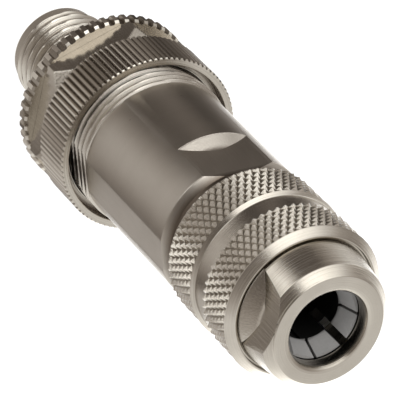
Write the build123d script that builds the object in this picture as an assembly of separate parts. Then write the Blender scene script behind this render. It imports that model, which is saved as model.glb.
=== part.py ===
from build123d import *
import os
from math import cos, radians, sin, tan

# A field-wired M12 cable connector that stands on its threaded tip, with the cable entry up.
# Heights run from the tip (0) to the rear face of the pressing nut. All sizes are in millimetres.

# Clearances
running_gap = 0.05      # radial play between pieces that turn or slide in each other
seat_gap = 0.02         # play between pieces that are pushed or screwed together
end_gap = 0.10          # play between end faces that turn past each other
seal_gap = 0.05         # play of a seal between two faces

# Coupling screw: M12 thread and toothed grip disc
thread_radius = 6.0
thread_depth = 0.67
thread_pitch = 1.25
thread_turns = 8
thread_crest_share = 0.16   # share of the pitch that is flat crest, and flat root
pilot_drop = 0.44           # how far the smooth front end lies under the crests
pilot_front_chamfer = 0.3
pilot_length = 1.36
relief_drop = 0.6
relief_length = 0.15
screw_wall = 0.38           # wall under the thread's roots
disc_thickness = 1.8
disc_tooth_count = 52
disc_tooth_depth = 0.45
disc_tooth_share = 0.5      # share of a tooth's pitch that is land
disc_edge_chamfer = 0.25

# Contact shroud of the front housing
shroud_wall = 0.65
shroud_front = 0.9

# Snap ring between the shroud and the coupling screw
snap_thickness = 0.7
snap_width = 0.8
snap_depth = 0.25
snap_inset = 0.55           # from the disc's front face
snap_opening = 3.0

# Hexagon and fine-knurled ring of the front housing
hexagon_length = 4.0
hexagon_across_flats = 19.0
hexagon_corner_angle = 40.8     # direction of one corner
hexagon_chamfer_angle = 30.0
ring_length = 5.75
ring_step = 0.09                # ring's teeth over the hexagon's corners
ring_tooth_count = 100
ring_tooth_depth = 0.40
ring_lip = 0.92                 # wall around the ring's open mouth
ring_mouth_step = 0.74
ring_mouth_depth = 1.6

# Contact carrier and terminal block
contact_room_depth = 8.1        # from the shroud's front to the carrier's face
carrier_flange_wall = 0.95      # housing wall in front of the carrier's flange
carrier_flange_drop = 0.7       # flange under the terminal room's wall
rib_width = 0.9
rib_height = 0.6
rib_setback = 1.7
rib_angle = 90.0
block_gap = 0.10
block_front_wall = 1.0
block_rear_wall = 1.1

# Contacts
pin_count = 4
pin_circle_radius = 2.25
pin_radius = 0.5
pin_tip_length = 0.4
pin_setback = 1.5
pin_shank_radius = 0.8
barrel_radius = 1.3
barrel_length = 12.0
wire_hole_radius = 0.85
wire_hole_depth = 6.5
screw_radius = 0.95
screw_sunk = 0.5
screw_height = 3.2          # from the rear end of the barrel down to the screw's axis
screw_slot_width = 0.35
screw_slot_depth = 0.5

# Seals
carrier_seal_thickness = 0.56
carrier_seal_setback = 3.4
housing_seal_thickness = 0.84
grip_seal_thickness = 0.82
grip_seal_inset = 0.95

# Body sleeve
body_engagement = 4.48      # how far the sleeve is screwed into the ring
body_thread_depth = 0.6
body_thread_pitch = 1.0
body_thread_ridges = 5
body_thread_show = 2.25
body_step = 0.25            # body under the crests of its thread
body_wall = 1.9
body_length = 20.7          # from the ring to the rear chamfer
neck_step = 0.85
neck_show = 1.55
neck_thread_step = 0.25
rear_wall = 1.4
cable_room_step = 0.6
seal_room_lead = 1.1        # from the seal room's floor to the rear chamfer
wrench_flat_depth = 1.1
wrench_flat_angle = 50.0
wrench_flat_length = 6.2
wrench_runout_angle = 30.0
long_flat_depth = 0.25
long_flat_angle = -32.0

# Shield parts and cable seal
cone_length = 2.9
cone_wall = 2.38
cone_seat = 1.2
shield_ring_length = 1.95
shield_ring_wall = 2.58
shield_slot_count = 12
shield_slot_width = 0.5
shield_slot_wall = 1.0
shield_slot_floor = 0.5
grommet_length = 7.14
grommet_wall = 3.26
grommet_chamfer = 0.6

# Grip nut
grip_step = 0.42            # knurl over the body
knurl_depth = 0.42
knurl_count = 60
knurl_rows = 6
rim_drop = 0.06             # smooth rims under the knurl's tips
front_rim_length = 0.4
band_1_length = 5.2
groove_length = 2.9
groove_drop = 0.42
groove_chamfer = 0.4
band_2_length = 4.94
rear_rim_length = 0.84
rear_face_width = 0.2
grip_front_chamfer = 0.35
grip_front_bore_depth = 1.6
grip_neck_gap = 0.10
grip_wall = 1.12
grip_step_setback = 0.65

# Clamping cage
cage_gap = 0.6              # between the fingers and the nut's cavity
cage_flange_drop = 0.4      # flange under the body's rear thread
cage_flange_thickness = 1.55
finger_length = 7.28
finger_shoulder = 3.7       # from the finger tips down to the shoulder
finger_nose = 2.2           # from the finger tips down to the narrowest place
finger_undercut = 0.9
finger_lead_in = 0.8
finger_tip_wall = 0.35
finger_tip_overlap = 0.03   # finger tips over the nut's hole
finger_count = 8
wide_slot_width = 1.0
narrow_slot_width = 0.35
wide_slot_angle = 3.0
slot_foot = 0.78

# Thrust ring
thrust_thickness = 0.65
thrust_collar_height = 0.8
thrust_cage_gap = 0.15

# Pressing nut
nut_thread_length = 3.0
nut_side_gap = 0.2          # between the nut's side and the grip nut's bore
nut_taper_drop = 0.63
nut_chamfer = 1.05
nut_chamfer_width = 0.97
nut_face_width = 1.98
nut_hole_rounding = 0.5
nut_bore_depth = 1.8
nut_tip_gap = 0.3           # from the finger tips to the nut's cone
nut_wall = 0.67
nut_cone_angle = 32.0
nut_flat_depth = 1.45
nut_flat_angle = 126.5
nut_flat_length = 5.3
nut_runout_angle = 45.0

# Radii worked out from the sizes above
thread_root = thread_radius - thread_depth
pilot_radius = thread_radius - pilot_drop
relief_radius = thread_radius - relief_drop
shroud_radius = thread_root - screw_wall - running_gap
shroud_bore = shroud_radius - shroud_wall
snap_bore = shroud_radius - snap_depth
snap_outer = snap_bore + snap_width
hexagon_corner_radius = hexagon_across_flats / 2 / cos(radians(30))
disc_radius = hexagon_corner_radius
ring_tip_radius = hexagon_corner_radius + ring_step
ring_mouth_radius = ring_tip_radius - ring_lip
body_room_radius = ring_mouth_radius - ring_mouth_step
body_thread_radius = body_room_radius - running_gap
body_thread_root = body_thread_radius - body_thread_depth
body_radius = body_thread_radius - body_step
terminal_room_radius = body_radius - body_wall
block_radius = terminal_room_radius - block_gap
carrier_flange_radius = terminal_room_radius - carrier_flange_drop
housing_seal_radius = (terminal_room_radius + body_thread_radius) / 2
body_neck_radius = body_radius - neck_step
body_rear_thread_radius = body_neck_radius - neck_thread_step
seal_room_radius = body_rear_thread_radius - rear_wall
cable_room_radius = seal_room_radius - cable_room_step
knurl_radius = body_radius + grip_step
groove_radius = knurl_radius - groove_drop
grip_front_bore = body_neck_radius + grip_neck_gap
grip_rear_bore = knurl_radius - grip_wall
nut_thread_radius = grip_rear_bore - running_gap
nut_taper_front_radius = grip_rear_bore - nut_side_gap
nut_taper_rear_radius = nut_taper_front_radius - nut_taper_drop
nut_face_radius = nut_taper_rear_radius - nut_chamfer_width
nut_bore = nut_face_radius - nut_face_width
nut_cavity_radius = nut_taper_rear_radius - nut_wall
cage_radius = nut_cavity_radius - cage_gap
cage_tip_radius = nut_bore + finger_tip_overlap
cage_tip_apothem = cage_tip_radius - finger_tip_wall
cage_nose_radius = cage_tip_apothem - finger_lead_in
cage_bore = cage_nose_radius + finger_undercut

# Heights worked out from the sizes above
thread_flat = thread_crest_share * thread_pitch / 2
thread_first_crest = pilot_length + pilot_drop + thread_flat
thread_last_crest = thread_first_crest + thread_turns * thread_pitch
disc_front = thread_last_crest + thread_flat + relief_drop + relief_length
disc_rear = disc_front + disc_thickness
snap_front = disc_front + snap_inset
hexagon_front = disc_rear + end_gap
ring_front = hexagon_front + hexagon_length
ring_rear = ring_front + ring_length
carrier_front = shroud_front + contact_room_depth
carrier_flange_start = hexagon_front + carrier_flange_wall
body_front = ring_rear - body_engagement
carrier_rear = body_front - seat_gap
housing_seal_floor = body_front - housing_seal_thickness - 2 * seal_gap
block_front = body_front
barrel_front = block_front + block_front_wall
barrel_rear = barrel_front + barrel_length
block_rear = barrel_rear + block_rear_wall
body_thread_end = ring_rear + body_thread_show
body_chamfer_start = ring_rear + body_length
body_chamfer_end = body_chamfer_start + neck_step
seal_room_start = body_chamfer_start - seal_room_lead
cone_front = seal_room_start + seat_gap
shield_ring_front = cone_front + cone_length + seat_gap
grommet_front = shield_ring_front + shield_ring_length + seat_gap
body_rear = grommet_front + grommet_length
grip_front = body_chamfer_end + neck_show
band_1_start = grip_front + front_rim_length
band_1_end = band_1_start + band_1_length
band_2_start = band_1_end + groove_length
band_2_end = band_2_start + band_2_length
grip_rear = band_2_end + rear_rim_length
cage_front = body_rear + seat_gap
cage_flange_top = cage_front + cage_flange_thickness
cage_tip_height = cage_flange_top + finger_length
thrust_front = cage_flange_top + seat_gap
nut_front = thrust_front + thrust_thickness + seat_gap
nut_rear = cage_tip_height + nut_tip_gap + nut_bore_depth


def turned(*points):
    """Solid of revolution about the Z axis, from its (radius, height) outline."""
    outline = Polyline(*[(r, 0, z) for r, z in points], close=True)
    return revolve(make_face(outline), Axis.Z)


def tube(outer, inner, low, high):
    """Plain ring between two heights."""
    return turned((inner, low), (outer, low), (outer, high), (inner, high))


def rod(radius, low, high):
    """Solid cylinder on the Z axis between two heights."""
    return Pos(0, 0, low) * Cylinder(radius, high - low, align=(Align.CENTER, Align.CENTER, Align.MIN))


def polar(radius, angle, height=0.0):
    """Point at a radius, an angle in degrees and a height."""
    return (radius * cos(radians(angle)), radius * sin(radians(angle)), height)


def torus_ring(radius, thickness, height):
    """O-ring of round section: radius of the section's centre, thickness and height."""
    return Pos(0, 0, height) * Torus(radius, thickness / 2)


def beyond_plane(distance, angle, low, high, reach=30.0):
    """Block that fills everything farther than a distance from the axis in one direction."""
    block = Box(reach, 2 * reach, high - low, align=(Align.MIN, Align.CENTER, Align.MIN))
    return Rot(0, 0, angle) * Pos(distance, 0, low) * block


def square_toothed_face(tip, root, count, share):
    """Section of a wheel with straight-sided teeth whose lands take a share of the pitch."""
    pitch = 360 / count
    points = []
    for k in range(count):
        middle = k * pitch
        half_land = share * pitch / 2 * 0.8
        half_foot = share * pitch / 2 * 1.2
        points += [polar(root, middle - half_foot), polar(tip, middle - half_land)]
        points += [polar(tip, middle + half_land), polar(root, middle + half_foot)]
    return make_face(Polyline(*points, close=True))


def vee_toothed_face(tip, root, count):
    """Section of a wheel with sharp V grooves."""
    half = 180 / count
    points = [polar(tip if k % 2 else root, k * half) for k in range(2 * count)]
    return make_face(Polyline(*points, close=True))


def diamond_band(low, length, tip, depth, count, rows):
    """Disc with a diamond-knurled rim: pyramids between two crossing families of V grooves."""
    root = tip - depth
    step = length / rows

    def node(column, row):
        radius = root if (column + row) % 2 == 0 else tip
        return polar(radius, column * 180 / count, low + row * step)

    faces = []
    for row in range(rows + 1):
        for column in range(2 * count):
            if (column + row) % 2 == 0:
                continue
            sides = [(column + 1, row), (column, row + 1), (column - 1, row), (column, row - 1)]
            for start, end in zip(sides, sides[1:] + sides[:1]):
                if 0 <= start[1] <= rows and 0 <= end[1] <= rows:
                    corners = [node(column, row), node(*start), node(*end)]
                    faces.append(Face(Wire.make_polygon(corners, close=True)))
    for row in (0, rows):
        rim = [node(column, row) for column in range(2 * count)]
        faces.append(Face(Wire.make_polygon(rim, close=True)))
    return Solid(Shell(faces))


def flat_with_runout(distance, angle, start, end, surface_radius, runout_angle):
    """What a milled flat takes away: all beyond its plane, up to a cone about the main axis."""
    depth = surface_radius - distance
    runout = depth / tan(radians(runout_angle))
    reach = surface_radius + 10
    shell = turned((surface_radius, start), (reach, start), (reach, end), (0, end), (0, start + runout),
                   (distance, start + runout))
    return beyond_plane(distance, angle, start, end) & shell


def make_coupling_screw():
    """Sleeve with a toothed disc, its thread drawn as rings. It runs on the shroud and holds the snap ring."""
    bore = shroud_radius + running_gap
    core_radius = disc_radius - 2 * disc_tooth_depth
    outline = [(bore, 0), (pilot_radius - pilot_front_chamfer, 0), (pilot_radius, pilot_front_chamfer)]
    outline += [(pilot_radius, pilot_length)]
    for k in range(thread_turns + 1):
        crest = thread_first_crest + k * thread_pitch
        outline += [(thread_radius, crest - thread_flat), (thread_radius, crest + thread_flat)]
        if k < thread_turns:
            valley = crest + thread_pitch / 2
            outline += [(thread_root, valley - thread_flat), (thread_root, valley + thread_flat)]
    outline += [(relief_radius, disc_front - relief_length), (relief_radius, disc_front)]
    outline += [(core_radius, disc_front), (core_radius, disc_rear), (bore, disc_rear)]
    sleeve = turned(*outline)
    teeth = square_toothed_face(disc_radius, disc_radius - disc_tooth_depth, disc_tooth_count, disc_tooth_share)
    disc = Pos(0, 0, disc_front) * extrude(teeth, disc_thickness)
    inner = core_radius - disc_tooth_depth
    blank = turned(
        (inner, disc_front), (disc_radius - disc_edge_chamfer, disc_front),
        (disc_radius, disc_front + disc_edge_chamfer), (disc_radius, disc_rear - disc_edge_chamfer),
        (disc_radius - disc_edge_chamfer, disc_rear), (inner, disc_rear))
    groove = tube(snap_outer + 2 * running_gap, bore - snap_depth, snap_front - end_gap,
                  snap_front + snap_thickness + end_gap)
    return sleeve + (disc & blank) - groove


def make_snap_ring():
    """Split ring in the shroud's groove."""
    ring = tube(snap_outer, snap_bore + seat_gap, snap_front, snap_front + snap_thickness)
    split = Pos(snap_outer, 0, snap_front) * Box(4 * snap_width, snap_opening, 3 * snap_thickness)
    return ring - split


def make_front_housing():
    """Hexagon, knurled ring and contact shroud in one piece, with the thread that takes the body."""
    flange_room = carrier_flange_radius + seat_gap
    flange_seat = carrier_flange_start - seat_gap
    shroud = tube(shroud_radius, shroud_bore, shroud_front, flange_seat)
    groove = tube(thread_radius, snap_bore, snap_front - seat_gap, snap_front + snap_thickness + seat_gap)
    hexagon = Pos(0, 0, hexagon_front) * Rot(0, 0, hexagon_corner_angle) * extrude(
        RegularPolygon(hexagon_across_flats / 2, 6, major_radius=False), hexagon_length)
    corner = hexagon_corner_radius
    rise = (corner - hexagon_across_flats / 2) / tan(radians(hexagon_chamfer_angle))
    blank = turned(
        (0, hexagon_front), (corner + ring_step, hexagon_front), (corner + ring_step, ring_front - rise),
        (corner, ring_front - rise), (hexagon_across_flats / 2, ring_front), (0, ring_front))
    knurl = vee_toothed_face(ring_tip_radius, ring_tip_radius - ring_tooth_depth, ring_tooth_count)
    ring = Pos(0, 0, ring_front) * extrude(knurl, ring_length)
    beyond = ring_rear + ring_mouth_depth
    inside = turned(
        (0, 0), (shroud_bore, 0), (shroud_bore, flange_seat), (flange_room, flange_seat),
        (flange_room, housing_seal_floor), (body_room_radius, housing_seal_floor),
        (body_room_radius, ring_rear - ring_mouth_depth), (ring_mouth_radius, ring_rear - ring_mouth_depth),
        (ring_mouth_radius, beyond), (0, beyond))
    return (shroud - groove) + ((hexagon & blank) + ring) - inside


def pin_angles():
    """Directions of the contacts, with the coding rib between two of them."""
    return [rib_angle + 45 + k * 360 / pin_count for k in range(pin_count)]


def make_contact_carrier():
    """Insulator with a flange, a seal groove, the pin holes and the coding rib."""
    nose = shroud_bore - running_gap
    carrier = turned(
        (0, carrier_front), (nose, carrier_front), (nose, carrier_flange_start),
        (carrier_flange_radius, carrier_flange_start), (carrier_flange_radius, carrier_rear), (0, carrier_rear))
    seal_height = carrier_front + carrier_seal_setback
    half_groove = carrier_seal_thickness / 2 + seal_gap
    groove = tube(shroud_radius, shroud_bore - carrier_seal_thickness - seat_gap, seal_height - half_groove,
                  seal_height + half_groove)
    rib_front = shroud_front + rib_setback
    rib = Rot(0, 0, rib_angle) * Pos(nose - rib_height, 0, rib_front) * Box(
        2 * rib_height, rib_width, carrier_front - rib_front + rib_height, align=(Align.MIN, Align.CENTER, Align.MIN))
    rib = rib & rod(nose, rib_front, carrier_front + rib_height)
    carrier = carrier + rib - groove
    for angle in pin_angles():
        hole = rod(pin_shank_radius + seat_gap, carrier_front - rib_height, carrier_rear + rib_height)
        carrier -= Pos(*polar(pin_circle_radius, angle)) * hole
    return carrier


def make_terminal_block():
    """Insulator around the wire barrels, with a side hole for each screw."""
    block = rod(block_radius, block_front, block_rear)
    height = barrel_rear - screw_height
    for angle in pin_angles():
        place = Pos(*polar(pin_circle_radius, angle))
        block -= place * rod(pin_shank_radius + seat_gap, block_front - block_front_wall, block_rear)
        block -= place * rod(barrel_radius + seat_gap, barrel_front - seat_gap, block_rear + block_rear_wall)
        side = Cylinder(screw_radius + 2 * seat_gap, block_radius, align=(Align.CENTER, Align.CENTER, Align.MIN))
        block -= Rot(0, 0, angle) * Pos(pin_circle_radius, 0, height) * Rot(0, 90, 0) * side
    return block


def make_contact_pin(angle):
    """Round pin, shank and wire barrel with a screw hole in its side."""
    height = barrel_rear - screw_height
    tip = shroud_front + pin_setback
    pin = turned(
        (0, tip), (0.6 * pin_radius, tip), (pin_radius, tip + pin_tip_length), (pin_radius, carrier_front),
        (pin_shank_radius, carrier_front), (pin_shank_radius, barrel_front), (barrel_radius, barrel_front),
        (barrel_radius, barrel_rear), (0, barrel_rear))
    pin -= rod(wire_hole_radius, barrel_rear - wire_hole_depth, barrel_rear + block_rear_wall)
    hole = Cylinder(screw_radius + seat_gap, 2 * barrel_radius, align=(Align.CENTER, Align.CENTER, Align.MIN))
    pin = Pos(pin_circle_radius, 0, 0) * (pin - Pos(0, 0, height) * Rot(0, 90, 0) * hole)
    return Rot(0, 0, angle) * pin


def make_terminal_screws():
    """One slotted grub screw for each barrel, its point just inside the wire hole."""
    inner = pin_circle_radius + wire_hole_radius - 2 * seal_gap
    length = block_radius - screw_sunk - inner
    screw = Cylinder(screw_radius, length, align=(Align.CENTER, Align.CENTER, Align.MIN))
    slot = Pos(0, 0, length) * Box(screw_slot_width, 3 * screw_radius, 2 * screw_slot_depth)
    screw = Pos(inner, 0, barrel_rear - screw_height) * Rot(0, 90, 0) * (screw - slot)
    return Compound([Rot(0, 0, angle) * screw for angle in pin_angles()])


def make_body_sleeve():
    """Turned sleeve with its thread ridges, chamfer and neck, a long flat and two wrench flats."""
    ridges = []
    first = body_thread_end - body_thread_ridges * body_thread_pitch
    for k in range(body_thread_ridges):
        low = first + k * body_thread_pitch
        ridges += [(body_thread_root, low), (body_thread_radius, low + 0.35 * body_thread_pitch),
                   (body_thread_radius, low + 0.65 * body_thread_pitch)]
    seal_height = grip_front + grip_seal_inset
    half_groove = grip_seal_thickness / 2 + seal_gap
    groove_floor = grip_front_bore - grip_seal_thickness - seat_gap
    outer = [
        (body_thread_radius, body_front), (body_thread_radius, first - 0.3 * body_thread_pitch)] + ridges + [
        (body_radius, body_thread_end), (body_radius, body_chamfer_start), (body_neck_radius, body_chamfer_end),
        (body_neck_radius, seal_height - half_groove), (groove_floor, seal_height - half_groove),
        (groove_floor, seal_height + half_groove), (body_rear_thread_radius, seal_height + half_groove),
        (body_rear_thread_radius, body_rear)]
    room_end = block_rear + seat_gap
    inner = [
        (seal_room_radius, body_rear), (seal_room_radius, seal_room_start), (cable_room_radius, seal_room_start),
        (cable_room_radius, room_end), (terminal_room_radius, room_end), (terminal_room_radius, body_front)]
    sleeve = turned(*(outer + inner))
    flats_end = seal_height - half_groove
    sleeve -= beyond_plane(body_radius - long_flat_depth, long_flat_angle, body_front - body_wall, flats_end)
    for angle in (wrench_flat_angle, wrench_flat_angle + 180):
        sleeve -= flat_with_runout(body_radius - wrench_flat_depth, angle, body_chamfer_start - wrench_flat_length,
                                   flats_end, body_radius, wrench_runout_angle)
    return sleeve


def make_shield_cone():
    """Brass bush with a conical seat for the cable's braid."""
    outer = seal_room_radius - seat_gap
    bore = outer - cone_wall
    top = cone_front + cone_length
    return turned((bore, cone_front), (outer, cone_front), (outer, top), (outer - cone_wall / 4, top),
                  (bore, top - cone_seat))


def make_shield_ring():
    """Ring with radial slots from its bore, so that it closes on the braid."""
    top = shield_ring_front + shield_ring_length
    outer = seal_room_radius - seat_gap
    ring = tube(outer, outer - shield_ring_wall, shield_ring_front, top)
    slot = Pos(0, 0, shield_ring_front + shield_slot_floor) * Box(
        outer - shield_slot_wall, shield_slot_width, shield_ring_length, align=(Align.MIN, Align.CENTER, Align.MIN))
    for k in range(shield_slot_count):
        ring -= Rot(0, 0, k * 360 / shield_slot_count) * slot
    return ring


def make_sealing_grommet():
    """Rubber sleeve around the cable."""
    outer = seal_room_radius - 2 * seat_gap
    bore = outer - grommet_wall
    mouth = bore + grommet_chamfer
    return turned((mouth, grommet_front), (outer, grommet_front), (outer, body_rear), (mouth, body_rear),
                  (bore, body_rear - grommet_chamfer), (bore, grommet_front + grommet_chamfer))


def make_clamping_cage():
    """Flanged basket of fingers with flat lead-in faces, split by wide and narrow slots in turn."""
    flange_radius = body_rear_thread_radius - cage_flange_drop
    nose_height = cage_tip_height - finger_nose
    cage = turned(
        (cage_bore, cage_front), (flange_radius, cage_front), (flange_radius, cage_flange_top),
        (cage_radius, cage_flange_top), (cage_radius, cage_tip_height - finger_shoulder),
        (cage_tip_radius, cage_tip_height), (cage_nose_radius, cage_tip_height), (cage_nose_radius, nose_height),
        (cage_bore, nose_height - finger_undercut))
    pitch = 360 / finger_count
    low_face = RegularPolygon(cage_nose_radius, finger_count, major_radius=False, rotation=wide_slot_angle)
    high_face = RegularPolygon(cage_tip_apothem, finger_count, major_radius=False, rotation=wide_slot_angle)
    mouth = loft([Pos(0, 0, nose_height) * low_face, Pos(0, 0, cage_tip_height) * high_face], ruled=True)
    cage -= mouth
    for k in range(finger_count):
        width = narrow_slot_width if k % 2 else wide_slot_width
        slot = Box(2 * cage_radius, width, finger_length, align=(Align.MIN, Align.CENTER, Align.MIN))
        cage -= Rot(0, 0, wide_slot_angle + k * pitch) * Pos(0, 0, cage_flange_top + slot_foot) * slot
    return cage


def make_thrust_ring():
    """Slip ring between the nut's end and the cage's flange. Its collar is guided in the nut's cavity."""
    bore = cage_radius + thrust_cage_gap
    collar = nut_cavity_radius - running_gap
    outer = nut_taper_front_radius
    top = thrust_front + thrust_thickness
    return turned((bore, thrust_front), (outer, thrust_front), (outer, top), (collar, top),
                  (collar, top + thrust_collar_height), (bore, top + thrust_collar_height))


def make_grip_nut():
    """Sleeve with two diamond-knurled bands and a smooth groove between them."""
    rim = knurl_radius - rim_drop
    front = turned((0, grip_front), (rim - grip_front_chamfer, grip_front), (rim, grip_front + grip_front_chamfer),
                   (rim, band_1_start), (0, band_1_start))
    middle = turned((0, band_1_end), (groove_radius + groove_chamfer, band_1_end),
                    (groove_radius, band_1_end + groove_chamfer), (groove_radius, band_2_start), (0, band_2_start))
    rear = turned((0, band_2_end), (rim, band_2_end), (grip_rear_bore + rear_face_width, grip_rear), (0, grip_rear))
    band_1 = diamond_band(band_1_start, band_1_length, knurl_radius, knurl_depth, knurl_count, knurl_rows)
    band_2 = diamond_band(band_2_start, band_2_length, knurl_radius, knurl_depth, knurl_count, knurl_rows)
    thread_bore = body_rear_thread_radius + seat_gap
    neck_room_end = grip_front + grip_front_bore_depth
    step = body_rear + grip_step_setback
    inside = turned(
        (0, grip_front - 1), (grip_front_bore, grip_front - 1), (grip_front_bore, neck_room_end),
        (thread_bore, neck_room_end + grip_front_bore - thread_bore),
        (thread_bore, step - grip_rear_bore + thread_bore), (grip_rear_bore, step),
        (grip_rear_bore, grip_rear + 1), (0, grip_rear + 1))
    return (front + band_1 + middle + band_2 + rear) - inside


def make_pressing_nut():
    """Tapered nut with two wrench flats, a rounded cable hole and a cone that closes the fingers."""
    thread_end = nut_front + nut_thread_length
    chamfer_low = nut_rear - nut_chamfer
    bore_low = nut_rear - nut_bore_depth
    cone_low = bore_low - (nut_cavity_radius - nut_bore) / tan(radians(nut_cone_angle))
    body = turned(
        (nut_bore, nut_rear), (nut_bore, bore_low), (nut_cavity_radius, cone_low), (nut_cavity_radius, nut_front),
        (nut_thread_radius, nut_front), (nut_thread_radius, thread_end), (nut_taper_front_radius, thread_end),
        (nut_taper_rear_radius, chamfer_low), (nut_face_radius, nut_rear))
    rim = [e for e in body.edges().filter_by(GeomType.CIRCLE)
           if abs(e.radius - nut_bore) < 1e-3 and abs(e.center().Z - nut_rear) < 1e-3]
    body = fillet(rim, nut_hole_rounding)
    for angle in (nut_flat_angle, nut_flat_angle + 180):
        body -= flat_with_runout(nut_taper_front_radius - nut_flat_depth, angle, nut_rear - nut_flat_length,
                                 nut_rear + nut_chamfer, nut_taper_front_radius, nut_runout_angle)
    return body


def main():
    os.makedirs("parts", exist_ok=True)
    pieces = {
        "coupling_screw": make_coupling_screw(),
        "snap_ring": make_snap_ring(),
        "front_housing": make_front_housing(),
        "contact_carrier": make_contact_carrier(),
        "terminal_block": make_terminal_block(),
        "terminal_screws": make_terminal_screws(),
        "carrier_seal": torus_ring(shroud_bore - seat_gap - carrier_seal_thickness / 2,
                                   carrier_seal_thickness - seat_gap, carrier_front + carrier_seal_setback),
        "housing_seal": torus_ring(housing_seal_radius, housing_seal_thickness,
                                   body_front - housing_seal_thickness / 2 - seal_gap),
        "body_sleeve": make_body_sleeve(),
        "grip_seal": torus_ring(grip_front_bore - seat_gap - grip_seal_thickness / 2,
                                grip_seal_thickness - seat_gap, grip_front + grip_seal_inset),
        "shield_cone": make_shield_cone(),
        "shield_ring": make_shield_ring(),
        "sealing_grommet": make_sealing_grommet(),
        "clamping_cage": make_clamping_cage(),
        "thrust_ring": make_thrust_ring(),
        "grip_nut": make_grip_nut(),
        "pressing_nut": make_pressing_nut(),
    }
    for number, angle in enumerate(pin_angles(), start=1):
        pieces[f"contact_pin_{number}"] = make_contact_pin(angle)
    for name, piece in pieces.items():
        export_step(piece, f"parts/{name}.step")


main()
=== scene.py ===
import logging
import math
from dataclasses import dataclass
from enum import IntEnum
from functools import cache

import bpy
import numpy as np
from mathutils import Matrix, Vector

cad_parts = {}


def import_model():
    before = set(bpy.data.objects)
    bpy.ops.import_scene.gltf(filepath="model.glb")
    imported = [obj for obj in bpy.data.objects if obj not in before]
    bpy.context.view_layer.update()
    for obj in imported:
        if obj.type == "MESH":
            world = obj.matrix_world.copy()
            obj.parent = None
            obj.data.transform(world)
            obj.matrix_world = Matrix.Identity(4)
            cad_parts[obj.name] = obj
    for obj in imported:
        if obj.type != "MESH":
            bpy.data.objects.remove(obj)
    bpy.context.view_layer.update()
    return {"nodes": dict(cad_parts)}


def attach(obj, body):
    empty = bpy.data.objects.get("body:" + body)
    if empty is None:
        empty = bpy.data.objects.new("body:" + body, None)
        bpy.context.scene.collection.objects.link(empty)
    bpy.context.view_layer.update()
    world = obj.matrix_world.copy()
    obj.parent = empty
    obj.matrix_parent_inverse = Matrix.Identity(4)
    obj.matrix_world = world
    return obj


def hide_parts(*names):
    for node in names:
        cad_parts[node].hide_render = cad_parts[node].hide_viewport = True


LOG = logging.getLogger("connector")

MM = 0.001
UNCUT = 1000.0      # a radius beyond every piece, where a flat takes nothing away


class Zone(IntEnum):
    """What is made on a row of a turned outline."""

    HIDDEN = -1         # a bore, which no flat cuts
    PLAIN = 0
    THREAD = 1
    TEETH = 2
    HEXAGON = 3
    KNURL = 4
    PAINTED_SHADE = 5            # a corner in shade, whose colour is painted dark


@dataclass(frozen=True)
class Metal:
    """A plated metal finish with turning marks, stains, worn edges, and grime with painted shade in the roots.
    """

    name: str
    colour: tuple[float, float, float]
    shade: tuple[float, float, float]
    roughness: float
    mark_depth: float = 0.00001
    turned_grain: float = 9000.0    # turning marks a metre
    milled_grain: float = 6000.0    # and on milled faces: across them
    milled_run: float = 300.0       # and along them
    stain_grain: float = 260.0
    speck_grain: float = 2600.0

    def build(self) -> bpy.types.Material:
        """Makes the node material; its fine marks run round the axis, and along it where a piece is milled.

        Returns:
            The finished material.
        """
        board = NodeBoard(bpy.data.materials.new(self.name))
        place = board.add("ShaderNodeTexCoord").outputs["Object"]
        split = board.add("ShaderNodeSeparateXYZ", place)
        radius = board.math("SQRT", board.math(
            "ADD", board.math("MULTIPLY", split.outputs["X"], split.outputs["X"]),
            board.math("MULTIPLY", split.outputs["Y"], split.outputs["Y"])))
        turned = board.join(board.math("MULTIPLY", radius, self.turned_grain), 0.0,
                            board.math("MULTIPLY", split.outputs["Z"], self.turned_grain))
        milled = board.join(board.math("MULTIPLY", split.outputs["X"], self.milled_grain),
                            board.math("MULTIPLY", split.outputs["Y"], self.milled_grain),
                            board.math("MULTIPLY", split.outputs["Z"], self.milled_run))
        fine = board.noise(board.blend(board.attribute("milled"), turned, milled), 1.0, 3.0)
        broad = board.noise(place, self.stain_grain, 4.0)
        specks = board.noise(place, self.speck_grain, 5.0)
        relief = board.attribute("relief")
        worn = board.math("SUBTRACT", relief, 0.5)
        stained = board.math("ADD", board.math("MULTIPLY", fine, 0.45), board.math("MULTIPLY", broad, 0.55))
        tone = board.ramp(board.math("ADD", board.math("MULTIPLY", worn, 0.5), stained),
                          ((0.25, self.shade), (0.75, self.colour)))
        rough = board.math("ADD", board.math("MULTIPLY", fine, 0.10), board.math("MULTIPLY", specks, 0.10))
        gloss = board.math("ADD", board.math("MULTIPLY", worn, -0.12),
                           board.math("ADD", self.roughness - 0.10, rough))
        bump = board.bump(fine, self.mark_depth)
        shader = board.shader()
        # grime and painted shade: the colour darkens in the roots of teeth, threads and knurls and on rows in
        # shade
        root_grime_and_shade = board.ramp(relief, ((0.05, (0.34, 0.30, 0.27)), (0.55, (1.0, 1.0, 1.0))))
        board.link(board.times(tone, root_grime_and_shade), shader.inputs["Base Color"])
        board.link(gloss, shader.inputs["Roughness"])
        board.link(bump, shader.inputs["Normal"])
        shader.inputs["Metallic"].default_value = 1.0
        return board.owner


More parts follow.
